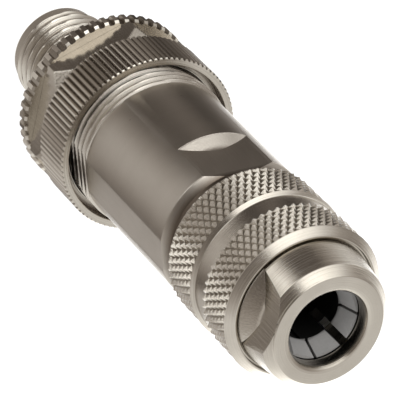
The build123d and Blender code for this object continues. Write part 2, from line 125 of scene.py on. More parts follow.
@dataclass(frozen=True)
class Moulded:
    """A moulded plastic or rubber finish with a fine spark-eroded grain."""

    name: str
    colour: tuple[float, float, float]
    shade: tuple[float, float, float]
    roughness: float
    grain: float = 4000.0
    grain_depth: float = 0.00001
    shadowed_below: float = 0.0     # height in metres under which it is dark
    shadow_edge: float = 0.0004     # and the height over which it lights up
    mottle: float = 300.0

    def build(self) -> bpy.types.Material:
        """Makes the node material.

        Returns:
            The finished material.
        """
        board = NodeBoard(bpy.data.materials.new(self.name))
        place = board.add("ShaderNodeTexCoord").outputs["Object"]
        grain = board.noise(place, self.grain, 4.0)
        broad = board.noise(place, self.mottle, 3.0)
        mottled = board.math("ADD", board.math("MULTIPLY", grain, 0.3), board.math("MULTIPLY", broad, 0.7))
        tone = board.ramp(mottled, ((0.3, self.shade), (0.7, self.colour)))
        gloss = board.math("ADD", self.roughness - 0.08, board.math("MULTIPLY", grain, 0.16))
        shader = board.shader()
        if self.shadowed_below > 0:
            split = board.add("ShaderNodeSeparateXYZ", place)
            above = board.math("MULTIPLY", board.math("SUBTRACT", split.outputs["Z"], self.shadowed_below),
                               1 / self.shadow_edge)
            shade = board.ramp(above, ((0.0, (0.03, 0.03, 0.03)), (1.0, (1.0, 1.0, 1.0))))
            tone = board.times(tone, shade)
        board.link(tone, shader.inputs["Base Color"])
        board.link(gloss, shader.inputs["Roughness"])
        board.link(board.bump(grain, self.grain_depth), shader.inputs["Normal"])
        return board.owner


class NodeBoard:
    """The node tree of a material or a world, with short calls for the nodes that the finishes use."""

    def __init__(self, owner: bpy.types.Material | bpy.types.World) -> None:
        """Empties the owner's node tree.

        Args:
            owner: The material or world.
        """
        owner.use_nodes = True
        self.owner = owner
        self.tree = owner.node_tree
        self.tree.nodes.clear()

    def add(self, kind: str, *values: object, **settings: object) -> bpy.types.Node:
        """Adds a node, sets it up and feeds its first inputs.

        Args:
            kind: The node's kind.
            values: Numbers and sockets for the inputs, in order; None leaves an input as it is.
            settings: The node's own settings.

        Returns:
            The node.
        """
        node = self.tree.nodes.new(kind)
        for name, setting in settings.items():
            setattr(node, name, setting)
        for value, socket in zip(values, node.inputs):
            self.feed(value, socket)
        return node

    def link(self, source: bpy.types.NodeSocket, target: bpy.types.NodeSocket) -> None:
        """Links two sockets."""
        self.tree.links.new(source, target)

    def feed(self, value: object, target: bpy.types.NodeSocket) -> None:
        """Links an input to a socket, or sets it to a number, and leaves it alone for None.

        Args:
            value: A number, an output socket or None.
            target: The input.
        """
        if isinstance(value, bpy.types.NodeSocket):
            self.link(value, target)
        elif value is not None:
            target.default_value = value

    def math(self, operation: str, first: object, second: object = 0.0) -> bpy.types.NodeSocket:
        """Gives the result of a Math node for two numbers or sockets."""
        return self.add("ShaderNodeMath", first, second, operation=operation).outputs[0]

    def join(self, x: object, y: object, z: object) -> bpy.types.NodeSocket:
        """Joins three numbers or sockets into a vector."""
        return self.add("ShaderNodeCombineXYZ", x, y, z).outputs[0]

    def attribute(self, name: str) -> bpy.types.NodeSocket:
        """Reads a number that is stored on the mesh's points."""
        return self.add("ShaderNodeAttribute", attribute_name=name).outputs["Fac"]

    def blend(self, share: object, first: object, second: object) -> bpy.types.NodeSocket:
        """Blends two vectors by the second one's share."""
        return self.add("ShaderNodeMix", share, None, None, None, first, second, data_type="VECTOR").outputs[1]

    def times(self, first: object, second: object) -> bpy.types.NodeSocket:
        """Multiplies two colours."""
        return self.add("ShaderNodeVectorMath", first, second, operation="MULTIPLY").outputs[0]

    def noise(self, vector: bpy.types.NodeSocket, scale: float, detail: float) -> bpy.types.NodeSocket:
        """Reads a noise pattern of a scale and a detail at a place."""
        return self.add("ShaderNodeTexNoise", vector, None, scale, detail).outputs[0]

    def ramp(self, value: bpy.types.NodeSocket, stops: tuple) -> bpy.types.NodeSocket:
        """Maps a value to a colour between stops.

        Args:
            value: The value's socket.
            stops: Pairs of position and colour.

        Returns:
            The colour's socket.
        """
        node = self.add("ShaderNodeValToRGB", value)
        points = node.color_ramp.elements
        while len(points) < len(stops):
            points.new(0.5)
        for point, (position, colour) in zip(points, stops):
            point.position = position
            point.color = (*colour, 1.0)
        return node.outputs[0]

    def bump(self, height: bpy.types.NodeSocket, depth: float) -> bpy.types.NodeSocket:
        """Turns a height pattern into a normal.

        Args:
            height: The height's socket.
            depth: The bump's depth in metres.

        Returns:
            The normal's socket.
        """
        node = self.add("ShaderNodeBump")
        node.inputs["Distance"].default_value = depth
        self.link(height, node.inputs["Height"])
        return node.outputs[0]

    def seen(self) -> bpy.types.NodeSocket:
        """Tells the rays that see the backdrop: camera, glossy and transmission rays.

        Returns:
            A socket that is 1 for those rays and 0 for all others.
        """
        path = self.add("ShaderNodeLightPath").outputs
        return self.math("MAXIMUM", path["Is Camera Ray"],
                         self.math("MAXIMUM", path["Is Glossy Ray"], path["Is Transmission Ray"]))

    def shader(self) -> bpy.types.Node:
        """Adds the principled shader and the output, joined.

        Returns:
            The shader node.
        """
        shader = self.add("ShaderNodeBsdfPrincipled")
        self.add("ShaderNodeOutputMaterial", shader.outputs[0])
        return shader


NICKEL_TURNED = Metal("nickel turned", (0.66, 0.615, 0.545), (0.50, 0.46, 0.40), 0.20, 0.00002)
NICKEL_SATIN = Metal("nickel satin", (0.60, 0.555, 0.495), (0.50, 0.46, 0.405), 0.31, 0.00002)
NICKEL_BRIGHT = Metal("nickel bright", (0.64, 0.595, 0.525), (0.51, 0.47, 0.405), 0.19, 0.00003)
STEEL = Metal("steel", (0.55, 0.55, 0.56), (0.40, 0.40, 0.41), 0.35)
BRASS = Metal("brass", (0.75, 0.57, 0.29), (0.60, 0.44, 0.20), 0.33)
GOLD = Metal("gold", (0.88, 0.68, 0.32), (0.78, 0.58, 0.25), 0.22)
BLACK_PLASTIC = Moulded("black plastic", (0.035, 0.033, 0.032), (0.018, 0.017, 0.017), 0.50)
GREY_PLASTIC = Moulded("grey plastic", (0.27, 0.263, 0.255), (0.20, 0.195, 0.19), 0.42, shadowed_below=0.0625)
SLIP_PLASTIC = Moulded("slip plastic", (0.72, 0.70, 0.64), (0.62, 0.60, 0.55), 0.45)
RUBBER = Moulded("rubber", (0.022, 0.021, 0.020), (0.012, 0.012, 0.012), 0.62, 2500.0)

NODE_FINISH = {
    "coupling_screw": NICKEL_TURNED, "front_housing": NICKEL_TURNED, "grip_nut": NICKEL_TURNED,
    "body_sleeve": NICKEL_SATIN, "pressing_nut": NICKEL_BRIGHT, "snap_ring": STEEL, "terminal_screws": STEEL,
    "shield_cone": BRASS, "shield_ring": BRASS,
    "contact_carrier": BLACK_PLASTIC, "terminal_block": BLACK_PLASTIC,
    "clamping_cage": GREY_PLASTIC, "thrust_ring": SLIP_PLASTIC, "carrier_seal": RUBBER, "housing_seal": RUBBER,
    "grip_seal": RUBBER, "sealing_grommet": RUBBER, "contact_pin_1": GOLD, "contact_pin_2": GOLD,
    "contact_pin_3": GOLD, "contact_pin_4": GOLD,
}


@cache
def finish_material(finish: Metal | Moulded) -> bpy.types.Material:
    """Gives the finish's material, made once."""
    return finish.build()


@dataclass(frozen=True)
class Flat:
    """A milled flat with a run-out where the cutter leaves the turned surface.

    A point at an angle a from the flat's middle keeps at most the radius max(d / cos a, c). d is the plane's
    distance. c is the run-out: the turned radius up to the start, then falling to d along a cone with a soft
    foot. With s the share of the way, it has fallen by 1.25 s up to s = 0.6, and by 1 - 1.56 (1 - s)^2 from
    there.
    """

    angle: float            # direction of the flat's normal, in degrees
    distance: float         # from the axis to the plane
    start: float = -1.0     # height where the run-out begins
    runout: float = 0.0     # its length; 0 for a flat along the whole piece
    surface: float = 0.0    # turned radius where it begins

    def allowed(self, height: np.ndarray) -> np.ndarray:
        """Radius that the run-out leaves.

        Args:
            height: Heights.

        Returns:
            The largest radius at each height.
        """
        if self.runout <= 0:
            return np.full_like(height, self.distance)
        share = np.clip((height - self.start) / self.runout, 0.0, 1.0)
        fall = np.where(share < 0.6, 1.25 * share, 1.0 - 1.5625 * (1.0 - share) ** 2)
        left = self.surface - (self.surface - self.distance) * fall
        return np.where(height < self.start, UNCUT, left)

    def edges(self, radius: np.ndarray, height: np.ndarray) -> tuple[np.ndarray, np.ndarray]:
        """Half angles of the flat's outline and of its run-out.

        Args:
            radius: Turned radius of each row.
            height: Height of each row.

        Returns:
            Half angle of the outer edge and of the edge between plane and run-out, in radians.
        """
        nominal = max(self.surface, self.distance * 1.02)
        full = math.acos(self.distance / nominal)
        outer = np.arccos(np.clip(self.distance / np.maximum(radius, 1e-6), 0.0, 1.0))
        outer = np.where(outer < 0.05, full, outer)
        rim = np.minimum(self.allowed(height), np.maximum(radius, self.distance))
        inner = np.arccos(np.clip(self.distance / np.maximum(rim, 1e-6), 0.0, 1.0))
        least, most = 0.12, 0.94    # the inner edge stays between these shares of the outer one
        return outer, np.clip(inner, least * outer, most * outer)

    def cut(self, angle: np.ndarray, radius: np.ndarray, height: np.ndarray) -> np.ndarray:
        """Radius that is left after the cut.

        Args:
            angle: Angle of each point, in radians.
            radius: Its turned radius.
            height: Its height.

        Returns:
            The new radii.
        """
        across = np.cos(angle - math.radians(self.angle))
        plane = np.where(across > 0.2, self.distance / np.maximum(across, 0.2), UNCUT)
        return np.minimum(radius, np.maximum(plane, self.allowed(height)))


def edge_angles(flats: tuple[Flat, ...], radius: np.ndarray, height: np.ndarray, detail: int) -> np.ndarray:
    """Angles that follow the outlines of the flats, so that each edge lies on one column of points.

    Every flat has five knots: its two outer edges, the two edges of its run-out and its middle. Between knots
    the angles are spread evenly.

    Args:
        flats: The flats, in order of angle.
        radius: Turned radius of each row.
        height: Height of each row.
        detail: Columns between two knots.

    Returns:
        Angles in radians, columns by rows.
    """
    plain_share = 6     # a gap between two flats gets this many times the columns
    knots = []
    for flat in flats:
        outer, inner = flat.edges(radius, height)
        middle = math.radians(flat.angle)
        knots += [middle - outer, middle - inner, np.full_like(radius, middle), middle + inner, middle + outer]
    knots.append(knots[0] + 2 * math.pi)
    marks = np.array(knots)
    gaps = np.array([(plain_share if k % 5 == 4 else 1) * detail for k in range(len(knots) - 1)])
    index = np.repeat(np.arange(len(gaps)), gaps)
    share = (np.arange(gaps.sum()) - np.repeat(np.cumsum(gaps) - gaps, gaps)) / np.repeat(gaps, gaps)
    return marks[index] * (1 - share[:, None]) + marks[index + 1] * share[:, None]


def soften(corners: np.ndarray, steps: int = 7) -> np.ndarray:
    """Rounds the corners of a closed outline.

    A corner P with round length t becomes the curve (1-s)^2 A + 2 s (1-s) P + s^2 C, where A and C lie
    t before and t after P on its two sides.

    Args:
        corners: Rows of radius, height, zone and round length.
        steps: Points on each round.

    Returns:
        Rows of radius, height and zone.
    """
    place = corners[:, :2]
    back = np.roll(place, 1, axis=0) - place
    ahead = np.roll(place, -1, axis=0) - place
    back_length = np.linalg.norm(back, axis=1)
    ahead_length = np.linalg.norm(ahead, axis=1)
    reach = np.minimum(corners[:, 3], 0.45 * np.minimum(back_length, ahead_length))[:, None]
    start = place + back / back_length[:, None] * reach
    end = place + ahead / ahead_length[:, None] * reach
    s = np.linspace(0.0, 1.0, steps)[None, :, None]
    curve = (1 - s) ** 2 * start[:, None] + 2 * s * (1 - s) * place[:, None] + s ** 2 * end[:, None]
    zone = np.repeat(corners[:, None, 2:3], steps, axis=1)
    keep = (reach > 0) | (np.arange(steps)[None, :] == 0)
    return np.concatenate([curve, zone], axis=2)[keep]


def ladder(start: tuple[float, float], end: tuple[float, float], count: int, zone: Zone) -> np.ndarray:
    """Evenly spaced outline points from one place to another, with no rounding.

    Args:
        start: Radius and height of the first point.
        end: Radius and height of the last point.
        count: How many points.
        zone: The zone that they belong to.

    Returns:
        Rows of radius, height, zone and round length.
    """
    share = np.linspace(0.0, 1.0, count)[:, None]
    place = np.array([start]) * (1 - share) + np.array([end]) * share
    return np.concatenate([place, np.full((count, 1), zone), np.zeros((count, 1))], axis=1)


def corner(radius: float, height: float, rounding: float = 0.0, zone: Zone = Zone.PLAIN) -> np.ndarray:
    """One outline corner as a row of radius, height, zone and round length."""
    return np.array([[radius, height, zone, rounding]])


def bore_corner(radius: float, height: float, rounding: float = 0.0) -> np.ndarray:
    """One corner of a bore, which no flat cuts."""
    return corner(radius, height, rounding, Zone.HIDDEN)


def swept(name: str, angle: np.ndarray, radius: np.ndarray, height: np.ndarray,
          flip: np.ndarray | None = None) -> bpy.types.Mesh:
    """Makes a closed mesh from a grid of points that runs round the axis and round the outline.

    A point is (radius cos angle, radius sin angle, height). Each cell of the grid is one quad, or two triangles
    where flip says which diagonal to take.

    Args:
        name: The mesh's name.
        angle: Angles in radians, columns by rows.
        radius: Radii in millimetres, columns by rows.
        height: Heights in millimetres, columns by rows.
        flip: Where given, 1 cuts the cell along its rising diagonal and 0 along its falling one.

    Returns:
        The mesh, in metres.
    """
    columns, rows = radius.shape
    points = np.stack([radius * np.cos(angle), radius * np.sin(angle), height], axis=-1).reshape(-1, 3) * MM
    column, row = np.meshgrid(np.arange(columns), np.arange(rows), indexing="ij")
    right = (column + 1) % columns
    above = (row + 1) % rows
    a, b = (column * rows + row).ravel(), (right * rows + row).ravel()
    c, d = (right * rows + above).ravel(), (column * rows + above).ravel()
    if flip is None:
        faces = np.stack([a, b, c, d], axis=1)
    else:
        rising = flip.ravel()[:, None].astype(bool)
        first = np.where(rising, np.stack([a, b, c], axis=1), np.stack([a, b, d], axis=1))
        second = np.where(rising, np.stack([a, c, d], axis=1), np.stack([b, c, d], axis=1))
        faces = np.concatenate([first, second])
    return filled_mesh(name, points, faces)


def filled_mesh(name: str, points: np.ndarray, faces: np.ndarray) -> bpy.types.Mesh:
    """Puts points and faces of one size into a mesh with foreach_set.

    Args:
        name: The mesh's name.
        points: Points in metres.
        faces: Rows of point numbers.

    Returns:
        The mesh.
    """
    mesh = bpy.data.meshes.new(name)
    size = faces.shape[1]
    mesh.vertices.add(len(points))
    mesh.vertices.foreach_set("co", points.astype(np.float32).ravel())
    mesh.loops.add(faces.size)
    mesh.loops.foreach_set("vertex_index", faces.astype(np.int32).ravel())
    mesh.polygons.add(len(faces))
    mesh.polygons.foreach_set("loop_start", (np.arange(len(faces)) * size).astype(np.int32))
    mesh.update(calc_edges=True)
    mesh.validate()
    mesh.shade_smooth()
    return mesh


def mark_points(mesh: bpy.types.Mesh, name: str, values: np.ndarray) -> None:
    """Stores a number on every point of a mesh, in the mesh's order, for a material to read."""
    layer = mesh.attributes.new(name, "FLOAT", "POINT")
    layer.data.foreach_set("value", values.astype(np.float32).ravel())


@dataclass(frozen=True)
class Grid:
    """Points of a turned piece, columns round the axis by rows along its outline."""

    angle: np.ndarray       # in radians
    radius: np.ndarray      # as turned, in millimetres
    height: np.ndarray
    zone: np.ndarray


@dataclass
class Turned:
    """A turned piece: its outline is carried round the axis, and its zones get teeth, threads or knurls."""

    name: str
    body: str
    node: str                   # the solid that it stands for
    slot: str = "nickel_turned"
    finish: Metal | Moulded = NICKEL_TURNED
    columns: int = 480
    crease: float = 18.0        # angle between faces from which an edge is sharp, in degrees
    flats: tuple[Flat, ...] = ()
    tooth_gap: float = 0.0      # relief in the roots between the teeth, which sets their painted shade; 0 is the darkest
    thread_gap: float = 0.0     # and between a thread's crests

    def outline(self) -> np.ndarray:
        """Closed outline, up on the outside: rows of radius, height, zone and round length."""
        raise NotImplementedError

    def shaped(self, at: Grid) -> np.ndarray:
        """Radius after the zones' teeth, threads and knurls; a plain turned piece keeps its own."""
        return at.radius

    def diagonals(self, zone: np.ndarray) -> np.ndarray | None:
        """Which way the cells are cut into triangles; none are, unless a piece says so."""
        return None

    def relief(self, radius: np.ndarray, zone: np.ndarray) -> np.ndarray:
        """How far each point stands out of its zone, for worn tips and for the painted shade in the roots.

        In a toothed, threaded or knurled zone it is the share of the way from the zone's lowest radius to its
        highest, from 0.4 up in a knurl; it is 0.5 at the ends of the zone, near 0 on a row painted dark as
        shade and 0.5 everywhere else.

        Args:
            radius: Radii, columns by rows.
            zone: Each row's zone.

        Returns:
            Shares from 0 to 1, columns by rows.
        """
        share = np.full_like(radius, 0.5)
        for kind in (Zone.THREAD, Zone.TEETH, Zone.KNURL):
            rows = zone == kind
            if rows.any():
                low, high = radius[:, rows].min(), radius[:, rows].max()
                least = {Zone.KNURL: 0.4, Zone.TEETH: self.tooth_gap, Zone.THREAD: self.thread_gap}[kind]
                share[:, rows] = least + (1.0 - least) * (radius[:, rows] - low) / max(high - low, 1e-6)
                ends = rows & ~(np.roll(rows, 1) & np.roll(rows, -1))
                share[:, ends] = 0.5
        # painted shade: rows in shadow get a low relief, so the root ramp paints their colour dark
        share[:, zone == Zone.PAINTED_SHADE] = 0.05
        return share

    def build(self) -> bpy.types.Object:
        """Makes the piece, rides it on its body and hides the solids that it stands for.

        Returns:
            The finished object.
        """
        rows = soften(self.outline())
        if self.flats:
            angle = edge_angles(self.flats, rows[:, 0], rows[:, 1], 10)
        else:
            turn = np.arange(self.columns)[:, None] * (2 * math.pi / self.columns)
            angle = np.repeat(turn, len(rows), axis=1)
        radius, height, zone = (np.repeat(rows[None, :, k], len(angle), axis=0) for k in range(3))
        radius = self.shaped(Grid(angle, radius, height, zone))
        turned = radius
        for flat in self.flats:
            radius = np.where(zone >= 0, flat.cut(angle, radius, height), radius)
        mesh = swept(self.name, angle, radius, height, self.diagonals(rows[:, 2]))
        mark_points(mesh, "relief", self.relief(radius, rows[:, 2]))
        mark_points(mesh, "milled", (turned - radius > 0.001) | (zone == Zone.HEXAGON))
        mesh.set_sharp_from_angle(angle=math.radians(self.crease))
        mesh.materials.append(finish_material(self.finish))
        piece = bpy.data.objects.new(self.name, mesh)
        bpy.context.scene.collection.objects.link(piece)
        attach(piece, self.body)
        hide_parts(self.node)
        LOG.info("built %s with %d faces", self.name, len(mesh.polygons))
        return piece


def helix(angle: np.ndarray, height: np.ndarray, first: float, pitch: float, crest: float,
          root: float) -> np.ndarray:
    """Radius of a right-hand thread with flat crests and rounded roots.

    The phase is (height - first) / pitch - angle / 360 degrees. Its distance from the nearest whole number,
    0 at a crest and 1/2 at a root, sets the radius along a straight flank between the two.

    Args:
        angle: Angles in radians.
        height: Heights.
        first: Height of the first crest at angle 0.
        pitch: The thread's pitch.
        crest: Radius of the crests.
        root: Radius of the roots.

    Returns:
        The radii.
    """
    phase = (height - first) / pitch - angle / (2 * math.pi)
    away = np.abs(phase - np.round(phase)) * 2
    land, sides = 0.14, 0.72    # shares of the pitch: a crest's flat, and its two flanks together
    flank = np.clip((away - land) / sides, 0.0, 1.0)
    return crest - (crest - root) * flank


@dataclass
class CouplingScrew(Turned):
    """Threaded sleeve with a smooth front end and a coarse toothed disc."""

    name: str = "coupling_screw_turned"
    body: str = "coupling"
    node: str = "coupling_screw"
    columns: int = 520
    tooth_gap: float = 0.3
    thread_radius: float = 6.0
    thread_root: float = 5.33
    thread_pitch: float = 1.25
    first_crest: float = 1.9
    thread_end: float = 12.45
    pilot_radius: float = 5.56
    pilot_length: float = 1.36
    relief_radius: float = 5.4
    bore: float = 4.95
    disc_front: float = 12.75
    disc_rear: float = 14.55
    disc_radius: float = 10.97
    tooth_depth: float = 0.45
    tooth_count: int = 52
    tooth_land: float = 0.40    # shares of the pitch: a tooth's flat, and its two sides together
    tooth_sides: float = 0.20
    groove_radius: float = 5.55
    groove_low: float = 13.2
    groove_high: float = 14.1

    def outline(self) -> np.ndarray:
        """Tip, thread zone, relief, toothed disc, and back down the bore with the snap ring's groove.

        Returns:
            Rows of radius, height, zone and round length.
        """
        inner = self.disc_radius - 1.6
        return np.concatenate([
            corner(self.bore, 0.0, 0.08), corner(self.pilot_radius, 0.0, 0.32),
            ladder((self.pilot_radius, self.pilot_length),
                   (self.thread_radius, self.thread_end), 130, Zone.THREAD),
            corner(self.relief_radius, self.thread_end + 0.02),
            corner(self.relief_radius, self.disc_front, 0.1),
            corner(inner, self.disc_front),
            ladder((self.disc_radius - 0.28, self.disc_front),
                   (self.disc_radius, self.disc_front + 0.28), 4, Zone.TEETH),
            ladder((self.disc_radius, self.disc_front + 0.5),
                   (self.disc_radius, self.disc_rear - 0.45), 5, Zone.TEETH),
            ladder((self.disc_radius, self.disc_rear - 0.26),
                   (self.disc_radius - 0.26, self.disc_rear), 4, Zone.TEETH),
            corner(inner, self.disc_rear),
            corner(self.bore, self.disc_rear, 0.12), corner(self.bore, self.groove_high),
            corner(self.groove_radius, self.groove_high), corner(self.groove_radius, self.groove_low),
            corner(self.bore, self.groove_low)])

    def shaped(self, at: Grid) -> np.ndarray:
        """The thread between a lead chamfer and its run-out, and the disc's trapezoid teeth.

        The thread is the least of the helix, a 45 degree lead from the smooth front end and a 45 degree end at
        the relief. A tooth is full over the middle of its pitch and falls along straight sides to the root.

        Args:
            at: The turned points.

        Returns:
            The new radii.
        """
        thread = helix(at.angle, at.height, self.first_crest, self.thread_pitch, self.thread_radius,
                       self.thread_root)
        lead = self.pilot_radius + (at.height - self.pilot_length)
        fade = np.clip((at.height - self.pilot_length) / 0.5, 0.0, 1.0)
        thread = np.maximum(thread, self.pilot_radius + (self.thread_root - self.pilot_radius) * fade)
        end = self.relief_radius + (self.thread_end - at.height)
        thread = np.minimum(np.minimum(thread, lead), end)
        thread = np.maximum(thread, self.thread_root)
        radius = np.where(at.zone == Zone.THREAD, thread, at.radius)
        phase = at.angle * self.tooth_count / (2 * math.pi)
        away = np.abs(phase - np.round(phase)) * 2
        depth = self.tooth_depth * np.clip((away - self.tooth_land) / self.tooth_sides, 0.0, 1.0)
        return np.where(at.zone == Zone.TEETH, np.minimum(radius, self.disc_radius - depth), radius)


@dataclass
class FrontHousing(Turned):
    """Hexagon, fine-knurled ring and contact shroud in one turned piece."""

    name: str = "front_housing_turned"
    body: str = "housing"
    node: str = "front_housing"
    columns: int = 900
    shroud_radius: float = 4.90
    shroud_bore: float = 4.25
    shroud_front: float = 0.9
    groove_radius: float = 4.65
    groove_low: float = 13.28
    groove_high: float = 14.02
    hexagon_front: float = 14.57
    across_flats: float = 19.0
    corner_angle: float = 40.8
    corner_break: float = 0.045
    chamfer_angle: float = 30.0
    front_reach: float = 1.05   # how far the corners reach past the flats at the front face
    front_slope: float = 4.0    # and how fast they reach further behind it
    ring_front: float = 18.65
    ring_rear: float = 24.4
    ring_radius: float = 11.06
    tooth_depth: float = 0.26
    tooth_count: int = 100
    tooth_land: float = 0.36
    tooth_sides: float = 0.56
    mouth_radius: float = 10.14
    mouth_depth: float = 1.6
    body_room: float = 9.40
    seal_floor: float = 18.98
    flange_room: float = 6.52
    flange_seat: float = 15.58

    def outline(self) -> np.ndarray:
        """Shroud, hexagon, knurled ring, open mouth, and back down through the rooms for body and carrier.

        Returns:
            Rows of radius, height, zone and round length.
        """
        hexagon_core = self.across_flats / 2 - 1.2
        ring_core = self.ring_radius - 0.62
        return np.concatenate([
            corner(self.shroud_bore, self.shroud_front, 0.12),
            corner(self.shroud_radius, self.shroud_front, 0.12),
            corner(self.shroud_radius, self.groove_low), corner(self.groove_radius, self.groove_low),
            corner(self.groove_radius, self.groove_high), corner(self.shroud_radius, self.groove_high),
            corner(self.shroud_radius, self.hexagon_front), corner(hexagon_core, self.hexagon_front),
            ladder((11.0, self.hexagon_front), (11.0, self.ring_front), 25, Zone.HEXAGON),
            corner(ring_core, self.ring_front),
            ladder((self.ring_radius - 0.10, self.ring_front),
                   (self.ring_radius, self.ring_front + 0.10), 2, Zone.TEETH),
            ladder((self.ring_radius, self.ring_front + 0.3),
                   (self.ring_radius, self.ring_rear - 0.35), 4, Zone.TEETH),
            ladder((self.ring_radius, self.ring_rear - 0.12),
                   (self.ring_radius - 0.12, self.ring_rear), 2, Zone.TEETH),
            corner(ring_core, self.ring_rear),
            corner(self.mouth_radius, self.ring_rear, 0.10),
            # the mouth's inner wall is painted dark as shade
            corner(self.mouth_radius, self.ring_rear - 0.25, 0.0, Zone.PAINTED_SHADE),
            corner(self.mouth_radius, self.ring_rear - self.mouth_depth, 0.0, Zone.PAINTED_SHADE),
            corner(self.body_room, self.ring_rear - self.mouth_depth), corner(self.body_room, self.seal_floor),
            corner(self.flange_room, self.seal_floor), corner(self.flange_room, self.flange_seat),
            corner(self.shroud_bore, self.flange_seat)])

    def shaped(self, at: Grid) -> np.ndarray:
        """The hexagon with its 30 degree chamfer, and the ring's V teeth.

        The hexagon's radius is half its width over the cosine of the angle from the nearest flat, cut back by a
        chamfer cone that ends at the ring, and its corners are a little rounded. A tooth falls along straight
        sides from a narrow land.

        Args:
            at: The turned points.

        Returns:
            The new radii.
        """
        half = self.across_flats / 2
        sector = math.pi / 3
        turned = at.angle - math.radians(self.corner_angle) - sector / 2
        away = turned - np.round(turned / sector) * sector
        hexagon = np.minimum(half / np.cos(away), half / math.cos(sector / 2) - self.corner_break)
        cone = half + (self.ring_front - at.height) * math.tan(math.radians(self.chamfer_angle))
        front = half + self.front_reach + (at.height - self.hexagon_front) * self.front_slope
        hexagon = np.minimum(np.minimum(hexagon, cone), front)
        radius = np.where(at.zone == Zone.HEXAGON, hexagon, at.radius)
        phase = at.angle * self.tooth_count / (2 * math.pi) - 0.5
        away = np.abs(phase - np.round(phase)) * 2
        depth = self.tooth_depth * np.clip((away - self.tooth_land) / self.tooth_sides, 0.0, 1.0)
        return np.where(at.zone == Zone.TEETH, np.minimum(radius, self.ring_radius - depth), radius)


@dataclass
class BodySleeve(Turned):
    """Turned sleeve with its front thread, a flat along its whole length, two wrench flats and a rear neck."""

    name: str = "body_sleeve_turned"
    body: str = "housing"
    node: str = "body_sleeve"
    slot: str = "nickel_satin"
    finish: Metal | Moulded = NICKEL_SATIN
    thread_gap: float = 0.35
    flats: tuple[Flat, ...] = (
        Flat(-130.0, 8.0, 38.9, 1.9, 9.10), Flat(-32.0, 8.85), Flat(50.0, 8.0, 38.9, 1.9, 9.10))
    flats_start: float = 38.9   # where the wrench flats' run-out begins and ends
    flats_full: float = 40.8
    front: float = 19.92
    thread_radius: float = 9.35
    thread_root: float = 8.75
    thread_pitch: float = 1.0
    thread_start: float = 21.5
    thread_end: float = 26.65
    runout_slope: float = 1.4   # how fast the last turn's root rises to the cylinder
    body_radius: float = 9.10
    chamfer_start: float = 45.1
    chamfer_end: float = 45.95
    neck_radius: float = 8.25
    groove_low: float = 47.99
    groove_high: float = 48.91
    groove_radius: float = 7.51
    rear_radius: float = 8.0
    rear: float = 56.05
    seal_room: float = 6.6
    seal_floor: float = 44.0
    cable_room: float = 6.0
    terminal_end: float = 34.04
    terminal_room: float = 7.2

    def outline(self) -> np.ndarray:
        """Front face, thread, cylinder, chamfer, neck, seal groove, rear thread, and the three rooms inside.

        Returns:
            Rows of radius, height, zone and round length.
        """
        return np.concatenate([
            bore_corner(self.terminal_room, self.front), corner(self.thread_radius, self.front, 0.1),
            corner(self.thread_radius, self.thread_start),
            ladder((self.thread_radius, self.thread_start + 0.05),
                   (self.body_radius, self.thread_end), 76, Zone.THREAD),
            ladder((self.body_radius, self.flats_start), (self.body_radius, self.flats_full), 15, Zone.PLAIN),
            corner(self.body_radius, self.chamfer_start, 0.12),
            # the neck is painted dark as shade
            corner(self.neck_radius, self.chamfer_end, 0.05, Zone.PAINTED_SHADE),
            corner(self.neck_radius, self.groove_low, 0.0, Zone.PAINTED_SHADE),
            corner(self.groove_radius, self.groove_low), corner(self.groove_radius, self.groove_high),
            corner(self.rear_radius, self.groove_high),
            bore_corner(self.rear_radius, self.rear), bore_corner(self.seal_room, self.rear),
            bore_corner(self.seal_room, self.seal_floor), bore_corner(self.cable_room, self.seal_floor),
            bore_corner(self.cable_room, self.terminal_end),
            bore_corner(self.terminal_room, self.terminal_end)])

    def shaped(self, at: Grid) -> np.ndarray:
        """The front thread, whose last turn runs out into the cylinder.

        Args:
            at: The turned points.

        Returns:
            The new radii.
        """
        thread = helix(at.angle, at.height, self.thread_end, self.thread_pitch, self.thread_radius,
                       self.thread_root)
        thread = np.maximum(thread, self.body_radius - (self.thread_end - at.height) * self.runout_slope)
        thread = np.where(at.height > self.thread_end - 0.01, self.body_radius, thread)
        return np.where(at.zone == Zone.THREAD, thread, at.radius)


